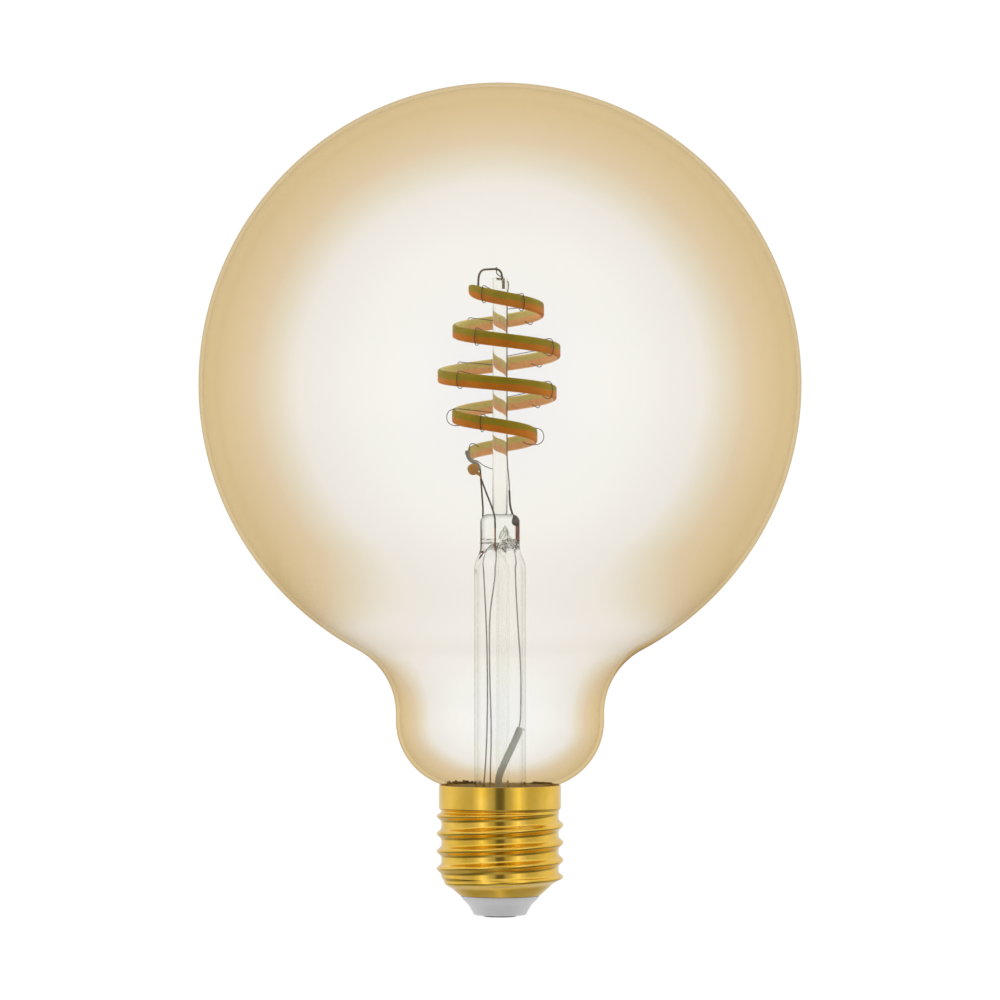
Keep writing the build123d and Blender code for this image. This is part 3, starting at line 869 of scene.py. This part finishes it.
def make_warm_terminal(material):
    """The round pad below the tab, slightly domed, with a short tab of its own to its lead."""
    centre_x, centre_z, front = -5.55, 92.85, -1.72
    profile = [
        (0.02, -0.10), (0.35, -0.02), (0.6, -0.10), (1.0, -0.08), (1.17, 0.02), (1.2, 0.14),
        (1.12, 0.24), (0.02, 0.24),
    ]
    segments = 48
    rings = []
    for radius, depth in profile:
        ring = []
        for a in angles_round(segments):
            x = centre_x + radius * cos(a) * (1 + 0.05 * sin(3 * a))
            ring.append((x, front + depth, centre_z + radius * sin(a)))
        rings.append(ring)
    thickness = 0.16
    # (x, y behind the pad's front, z, half height) along the tab
    stations = [(-5.0, 0.03, 92.3, 0.45), (-4.5, 0.0, 92.0, 0.42)]
    stations += [(-4.1, -0.04, 91.6, 0.38), (-3.75, 0.0, 91.1, 0.3)]
    tab = []
    for x, behind, z, tall in stations:
        near = front + behind
        far = near + thickness
        tab.append([(x, near, z + tall), (x, near, z - tall), (x, far, z - tall), (x, far, z + tall)])
    piece = mesh_object("warm_pad", *join_skins([skin(rings, capped=True), skin(tab, capped=True)]))
    return place(piece, "terminal_metal", material, "filament_warm_terminal")


# ---- wires

COOL_INNER = [
    (-4.1, -1.0, 92.9), (-3.9, -0.9, 90.0), (-3.7, -0.6, 87.0), (-3.5, -0.1, 84.6),
    (-3.6, 0, 82.6), (-3.5, 0, 80.0), (-3.5, 0, 78.2),
]
WARM_INNER = [
    (-3.9, -1.7, 90.9), (-3.1, -1.7, 88.6), (-2.0, -1.7, 85.9), (-1.2, -1.6, 83.6),
    (-1.0, -1.6, 82.2), (-1.0, -1.6, 80.7),
]
COMMON_INNER = [(1.95, 0, 88.5), (2.0, 0, 86.5), (2.15, 0, 85.0), (2.6, 0, 83.6), (2.9, 0, 82.4)]
COOL_OUTER = [
    (-3.5, 0, 73.8), (-3.3, -0.4, 70), (-2.9, -1.2, 63), (-2.6, -1.9, 55), (-2.5, -2.2, 43),
    (-2.9, -2.4, 31), (-3.6, -1.5, 24.5), (-3.6, 0, 21.6), (-3.6, 0, 20.5),
]
WARM_OUTER = [
    (-1.0, -1.6, 76.0), (-1.0, -1.65, 72.5), (-1.05, -1.7, 70.0), (-1.7, -1.9, 66.0),
    (-2.2, -2.0, 61.0), (-2.1, -2.3, 50), (-1.7, -2.5, 38), (-2.0, -2.6, 30),
    (-1.9, -1.5, 24.0), (-1.8, 0, 21.6), (-1.8, 0, 20.5),
]
COMMON_OUTER = [
    (3.1, 0, 77.6), (3.1, -0.2, 72), (3.7, -0.6, 60), (4.3, -0.6, 52), (4.3, -0.7, 44.5),
    (4.1, -1.0, 39.2), (1.9, -2.35, 34.2), (-0.3, -3.15, 29.2), (0.6, -3.1, 25.2),
    (2.6, 0, 22.0), (2.6, 0, 20.5),
]
SLEEVE = [
    (4.1, -1.0, 39.2), (3.2, -1.6, 36.9), (1.9, -2.35, 34.2), (0.6, -2.9, 31.4),
    (-0.3, -3.15, 29.2), (-0.3, -3.2, 27.0), (0.6, -3.1, 25.2),
]
TOP_HOOK = [
    (0.5, 0, 130.3), (0.5, 0, 132.6), (0.25, -0.05, 133.8), (-0.5, -0.3, 134.45),
    (-2.2, -1.2, 134.35), (-3.7, -2.2, 134.2), (-4.3, -2.8, 133.3), (-4.5, -3.1, 132.2),
    (-4.5, -3.1, 130.6),
]
RETURN_WIRE = [
    (1.95, 0, 88.5), (1.95, 0, 90.0), (1.45, -1.3, 94.5), (1.45, -1.3, 100), (1.45, -1.3, 115),
    (1.45, -1.3, 129), (1.9, 0.0, 131.4), (1.3, 1.5, 132.4), (-0.4, 1.4, 133.2),
    (-0.75, 0.5, 133.6), (-0.75, 0.1, 134.85),
]
SEAL_COOL = [(-3.5, 0, 78.2), (-3.5, 0, 76), (-3.5, 0, 73.8)]
SEAL_WARM = [(-1.0, -1.6, 80.7), (-1.0, -1.6, 78), (-1.0, -1.6, 76.0)]
SEAL_COMMON = [[(3.1, y, 81.4), (3.1, y, 79.5), (3.1, y, 77.6)] for y in (0.0, 0.8)]


def make_wires(lead, seal, copper, sleeve):
    """Every lead, from the strip's terminals down to the driver board."""
    # (piece, routes, diameter, slot, material, CAD node)
    wires = [
        ("inner_lead_cool", [COOL_INNER], INNER_DIAMETER, "lead_metal", lead, "cool_inner_lead"),
        ("inner_lead_warm", [WARM_INNER], INNER_DIAMETER, "lead_metal", lead, "warm_inner_lead"),
        ("inner_lead_common", [COMMON_INNER], COMMON_DIAMETER, "lead_metal", lead, "common_inner_lead"),
        ("hook_wire", [TOP_HOOK], HOOK_DIAMETER, "lead_metal", lead, "top_hook_wire"),
        ("return_wire", [RETURN_WIRE], RETURN_DIAMETER, "lead_metal", lead, "common_return_wire"),
        ("seal_cool", [SEAL_COOL], SEAL_DIAMETER, "seal_metal", seal, "cool_seal_wire"),
        ("seal_warm", [SEAL_WARM], SEAL_DIAMETER, "seal_metal", seal, "warm_seal_wire"),
        ("seal_common", SEAL_COMMON, SEAL_DIAMETER, "seal_metal", seal, "common_seal_wires"),
        ("outer_lead_cool", [COOL_OUTER], OUTER_DIAMETER, "copper_wire", copper, "cool_outer_lead"),
        ("outer_lead_warm", [WARM_OUTER], OUTER_DIAMETER, "copper_wire", copper, "warm_outer_lead"),
        ("outer_lead_common", [COMMON_OUTER], OUTER_DIAMETER, "copper_wire", copper, "common_outer_lead"),
        ("lead_sleeve", [SLEEVE], SLEEVE_DIAMETER, "sleeve_plastic", sleeve, "common_lead_sleeve"),
    ]
    for name, routes, diameter, slot, material, node in wires:
        place(wire_curve(name, routes, diameter), slot, material, node)


def make_cement(material, bead_shade_material):
    """The thin ring of cement between glass and shell, squeezed up into beads behind, whose tops are
    painted dark brown as shade.
    """
    glass_side, shell_side = NECK_RADIUS + 0.02, SKIRT_RADIUS - 0.32
    low, high = 22.6, NECK_TOP - 0.35
    # (first degree, last degree, how lumpy, how high) of each bead
    beads = [(24.0, 60.0, 0.15, 0.55), (114.0, 156.0, 0.6, 1.0)]
    fade = 5  # degrees over which a bead rises and falls
    # How far the cement stands out and up without a bead, and how much more in one.
    thin_out, thin_up, bead_out, bead_up = 0.04, 0.05, 0.40, 0.85
    section = 14
    rings = []
    for step in range(360):
        angle = radians(step)
        size = 0.0
        for first, last, lumpy, full in beads:
            inside = smooth_step(first, first + fade, step)
            inside *= 1 - smooth_step(last - fade, last, step)
            lumps = 0.5 + 0.5 * sin(0.9 * step) * sin(0.37 * step + 1)
            size += inside * full * (1 - lumpy * lumps)
        ring = [(glass_side, low), (shell_side, low), (shell_side, high)]
        for part in range(section + 1):
            round_top = pi * part / section
            reach = (thin_out + bead_out * size) * (1 + cos(round_top)) / 2
            rise = (thin_up + bead_up * size) * sin(round_top) ** 0.7
            ring.append((shell_side - 0.1 + reach - 0.02 * part / section, high + rise))
        rings.append([(r * cos(angle), r * sin(angle), z) for r, z in ring])
    piece = mesh_object("cement_ring", *skin(rings + rings[:1]))
    place(piece, "cement", material, "basing_cement")
    piece.data.materials.append(bead_shade_material)
    # The tops of the beads behind take the dark brown painted shade.
    for polygon in piece.data.polygons:
        degree = degrees(atan2(polygon.center.y, polygon.center.x)) % 360
        in_bead = any(bead[0] < degree < bead[1] for bead in beads)
        polygon.material_index = 1 if in_bead and polygon.center.z > high * MM else 0
    return piece


# ---- stage and light


def make_camera():
    """The camera level with the lamp's middle, straight in front of it."""
    camera = bpy.data.cameras.new("camera")
    camera.sensor_width = 36.0
    camera.lens = camera.sensor_width * CAMERA_DISTANCE / VIEW_WIDTH
    camera.clip_end = 50.0
    holder = bpy.data.objects.new("camera", camera)
    holder.location = (0, -CAMERA_DISTANCE * MM, CAMERA_HEIGHT * MM)
    holder.rotation_euler = (radians(90), 0, 0)
    bpy.context.scene.collection.objects.link(holder)
    bpy.context.scene.camera = holder


class WorldLight(NodeTree):
    """The studio's light."""

    def __init__(self):
        world = bpy.data.worlds.new("studio")
        bpy.context.scene.world = world
        super().__init__(world)

    def levels(self, value, stops):
        """A grey level that changes smoothly with a value from 0 to 1."""
        greys = [(position, (level, level, level)) for position, level in stops]
        return self.ramp(value, greys, "EASE")

    def light(self, level):
        """Light of one level: a number, or another node's output."""
        if not isinstance(level, bpy.types.NodeSocket):
            level = (level, level, level, 1.0)
        return self.add("ShaderNodeBackground", Color=level).outputs[0]


def make_floor():
    """A wide pale floor, as bright as the backdrop. Only the camera sees it: light passes it."""
    size = 4000.0
    level = -0.3
    corners = [(x * size, y * size, level) for x, y in ((-1, -1), (1, -1), (1, 1), (-1, 1))]
    floor = mesh_object("floor", corners, [(0, 1, 2, 3)])
    shader = Shader("floor")
    plain = shader.seen_plainly(shader.nodes.new("ShaderNodeLightPath"))
    glow = shader.add("ShaderNodeEmission", Color=(1, 1, 1, 1), Strength=BACKDROP_LEVEL)
    unseen = shader.add("ShaderNodeBsdfTransparent", Color=(1, 1, 1, 1))
    shader.surface(shader.choose(plain, unseen.outputs[0], glow.outputs[0]))
    floor.data.materials.append(shader.material)


def make_studio():
    """A white room: two broad soft lights in front, with a dark gap between them."""
    world = WorldLight()
    direction = world.nodes.new("ShaderNodeTexCoord").outputs["Generated"]
    split = world.add("ShaderNodeSeparateXYZ", i0=direction)

    # Azimuth: 0 straight in front of the lamp, 1 straight behind it. Height: 0 down, 1 up.
    front = world.maths("MULTIPLY", split.outputs["Y"], -1.0)
    side = world.maths("ABSOLUTE", split.outputs["X"])
    azimuth = world.maths("DIVIDE", world.maths("ARCTAN2", side, front), pi)
    height = world.maths("ADD", world.maths("MULTIPLY", split.outputs["Z"], 0.5), 0.5)

    # (azimuth, level) of what polished surfaces mirror: at mid height, high up, and below.
    boxes_round = [
        (0.0, 0.12), (0.042, 0.15), (0.055, 0.46), (0.11, 0.60), (0.16, 0.95), (0.20, 1.25),
        (0.25, 0.85), (0.31, 0.62), (0.39, 0.64), (0.50, 0.80), (0.60, 0.92), (0.78, 0.85),
        (1.0, 0.75),
    ]
    boxes = world.levels(azimuth, boxes_round)
    whole_round = [(0.0, 0.85), (0.24, 1.15), (0.40, 0.85), (0.62, 0.9), (1.0, 0.95)]
    whole = world.levels(azimuth, whole_round)
    below_round = [(0.0, 0.46), (0.12, 0.42), (0.28, 0.20), (0.42, 0.14), (0.7, 0.4), (1.0, 0.7)]
    below = world.levels(azimuth, below_round)
    upper = world.mix(world.levels(height, [(0.62, 0.0), (0.80, 1.0)]), boxes, whole)
    mirrored = world.mix(world.levels(height, [(0.30, 0.0), (0.46, 1.0)]), below, upper)

    path = world.nodes.new("ShaderNodeLightPath")
    tall = world.levels(height, [(0.0, 0.85), (0.5, 0.95), (1.0, 1.15)])
    soft_round = [(0.0, 0.30), (0.12, 0.50), (0.3, 1.10), (0.6, 1.40), (1.0, 1.20)]
    soft = world.light(world.maths("MULTIPLY", tall, world.levels(azimuth, soft_round)))
    lit = world.choose(path.outputs["Is Diffuse Ray"], world.light(mirrored), soft)
    both = world.choose(world.seen_plainly(path), lit, world.light(BACKDROP_LEVEL))
    world.add("ShaderNodeOutputWorld", Surface=both)

    scene = bpy.context.scene
    scene.view_settings.view_transform = "Standard"
    scene.cycles.max_bounces = 32
    scene.cycles.transmission_bounces = 32
    scene.cycles.glossy_bounces = 8
    scene.cycles.transparent_max_bounces = 64


# ---- the lamp

amber = amber_glass()
# Clear glass: its tint face on, where it starts to darken, and its tints halfway and edge on.
stem_glass = clear_glass(
    "stem_glass", (0.996, 0.998, 0.994), 0.35, (0.80, 0.81, 0.76), (0.22, 0.22, 0.17)
)
press_glass = clear_glass(
    "press_glass", (0.985, 0.99, 0.98), 0.05, (0.22, 0.24, 0.19), (0.02, 0.025, 0.015)
)
fold_glass = clear_glass(
    "fold_glass", (0.80, 0.82, 0.77), 0.03, (0.10, 0.11, 0.08), (0.01, 0.012, 0.008)
)
exhaust_glass = clear_glass(
    "exhaust_glass", (0.990, 0.995, 0.985), 0.3, (0.78, 0.80, 0.74), (0.25, 0.26, 0.20)
)
rod_glass = clear_glass("rod_glass", (0.995, 0.99, 0.95), 0.35, (0.66, 0.60, 0.42), (0.14, 0.10, 0.04))
# Speckled: two colours, the range of roughness, grain in cycles per metre, how metallic, and
# the height of the grain in metres.
support_wire = speckled(
    "support_wire", (0.035, 0.03, 0.022), (0.06, 0.05, 0.04), (0.35, 0.55), 2500.0, 0.4
)
lead_metal = speckled("lead_metal", (0.10, 0.095, 0.08), (0.16, 0.15, 0.13), (0.3, 0.5), 2500.0, 0.8)
seal_metal = speckled("seal_metal", (0.42, 0.13, 0.09), (0.34, 0.12, 0.09), (0.35, 0.5), 2500.0, 0.3)
copper_wire = speckled("copper_wire", (0.42, 0.42, 0.38), (0.32, 0.32, 0.29), (0.3, 0.5), 2500.0, 0.8)
sleeve = speckled(
    "sleeve_plastic", (0.62, 0.65, 0.60), (0.52, 0.55, 0.50), (0.5, 0.7), 1400.0, 0.0, 0.00008
)
terminal = speckled("terminal_metal", (0.30, 0.31, 0.26), (0.22, 0.22, 0.18), (0.3, 0.5), 1500.0, 0.8)
tab_metal = speckled(
    "tab_metal", (0.50, 0.50, 0.44), (0.28, 0.28, 0.22), (0.25, 0.45), 1200.0, 0.6, 0.0001
)
pad_amber = speckled(
    "pad_amber", (0.62, 0.33, 0.08), (0.46, 0.20, 0.04), (0.3, 0.5), 1200.0, 0.2, 0.00008
)
insulator = speckled(
    "insulator", (0.66, 0.65, 0.66), (0.62, 0.61, 0.62), (0.25, 0.34), 700.0, 0.0, 0.00002
)
contact = speckled("contact_metal", (0.30, 0.30, 0.30), (0.22, 0.22, 0.21), (0.3, 0.5), 700.0, 0.9)
cement = speckled("cement", (0.88, 0.80, 0.60), (0.80, 0.70, 0.46), (0.7, 0.9), 1600.0, 0.0, 0.0002)
# Dark brown painted shade for the cement at the far inside of the rim.
cement_bead_painted_shade = speckled(
    "cement_bead_painted_shade", (0.16, 0.10, 0.03), (0.07, 0.04, 0.015), (0.3, 0.6), 1600.0, 0.0, 0.0002
)
strip_core = speckled("strip_core", (0.50, 0.38, 0.12), (0.42, 0.30, 0.08), (0.4, 0.6), 900.0)
board_green = speckled("board_green", (0.02, 0.11, 0.05), (0.03, 0.15, 0.07), (0.25, 0.40), 1500.0)
board_black = speckled("board_black", (0.016, 0.018, 0.022), (0.03, 0.03, 0.035), (0.30, 0.45), 1500.0)
liner_film = speckled("liner_film", (0.75, 0.70, 0.55), (0.68, 0.62, 0.45), (0.35, 0.50), 500.0)
can_sleeve = speckled("can_sleeve", (0.015, 0.02, 0.05), (0.025, 0.03, 0.07), (0.2, 0.35), 900.0)
film_case = speckled("film_case", (0.45, 0.06, 0.03), (0.38, 0.05, 0.03), (0.25, 0.40), 900.0)
ferrite = speckled(
    "ferrite", (0.06, 0.055, 0.05), (0.10, 0.09, 0.08), (0.55, 0.80), 1200.0, 0.0, 0.00006
)
chip_black = speckled("chip_black", (0.012, 0.012, 0.013), (0.022, 0.022, 0.024), (0.40, 0.60), 2200.0)
tinned = speckled("tinned", (0.55, 0.55, 0.53), (0.42, 0.42, 0.40), (0.25, 0.45), 1300.0, 0.9)
gold_plate = speckled("gold_plate", (0.80, 0.55, 0.20), (0.70, 0.45, 0.14), (0.2, 0.35), 1300.0, 1.0)
resistor_body = speckled("resistor_body", (0.08, 0.22, 0.10), (0.11, 0.28, 0.13), (0.4, 0.6), 1500.0)
cool_band = ((0.31, 0.230, 0.001), (0.26, 0.19, 0.001), (0.68, 0.57, 0.19), (0.20, 0.14, 0.001))
warm_band = ((0.57, 0.170, 0.001), (0.50, 0.14, 0.001), (0.86, 0.44, 0.19), (0.38, 0.10, 0.002))
cool = phosphor("cool_phosphor", *cool_band)
warm = phosphor("warm_phosphor", *warm_band)

make_camera()
make_floor()
make_studio()
make_envelope(amber, inner_skin())
make_screw_shell(brass())
make_insulator(insulator)
make_centre_contact(contact)
make_cement(cement, cement_bead_painted_shade)
make_stem(stem_glass, press_glass, fold_glass)
make_exhaust_tube(exhaust_glass)
make_rod(rod_glass)
core = (-CORE_HALF_HEIGHT, CORE_HALF_HEIGHT, CORE_HALF_THICKNESS, CORE_CORNER)
upper_band = (0.0, STRIP_HALF_HEIGHT, STRIP_HALF_THICKNESS, STRIP_CORNER)
lower_band = (-STRIP_HALF_HEIGHT, 0.0, STRIP_HALF_THICKNESS, STRIP_CORNER)
make_strip("strip_substrate", *core, "strip_core", strip_core, "filament_substrate")
make_strip("strip_cool", *upper_band, "cool_phosphor", cool, "filament_cool_phosphor")
make_strip("strip_warm", *lower_band, "warm_phosphor", warm, "filament_warm_phosphor")
make_supports(support_wire)
make_wires(lead_metal, seal_metal, copper_wire, sleeve)
make_cool_terminal(tab_metal)
make_warm_terminal(pad_amber)
dress(terminal, "filament_top_terminal")
dress(lead_metal, "common_weld_bead")
dress(liner_film, "driver_liner")
dress(board_green, "driver_board")
dress(board_black, "radio_module_board")
dress(tinned, "radio_shield_can", "side_contact_wire")
dress(gold_plate, "radio_antenna", "module_header_pins")
dress(can_sleeve, "electrolytic_capacitor")
dress(film_case, "film_capacitor")
dress(ferrite, "filter_inductor")
dress(chip_black, "bridge_rectifier", "led_driver_chip", "channel_switches")
dress(resistor_body, "fusible_resistor")
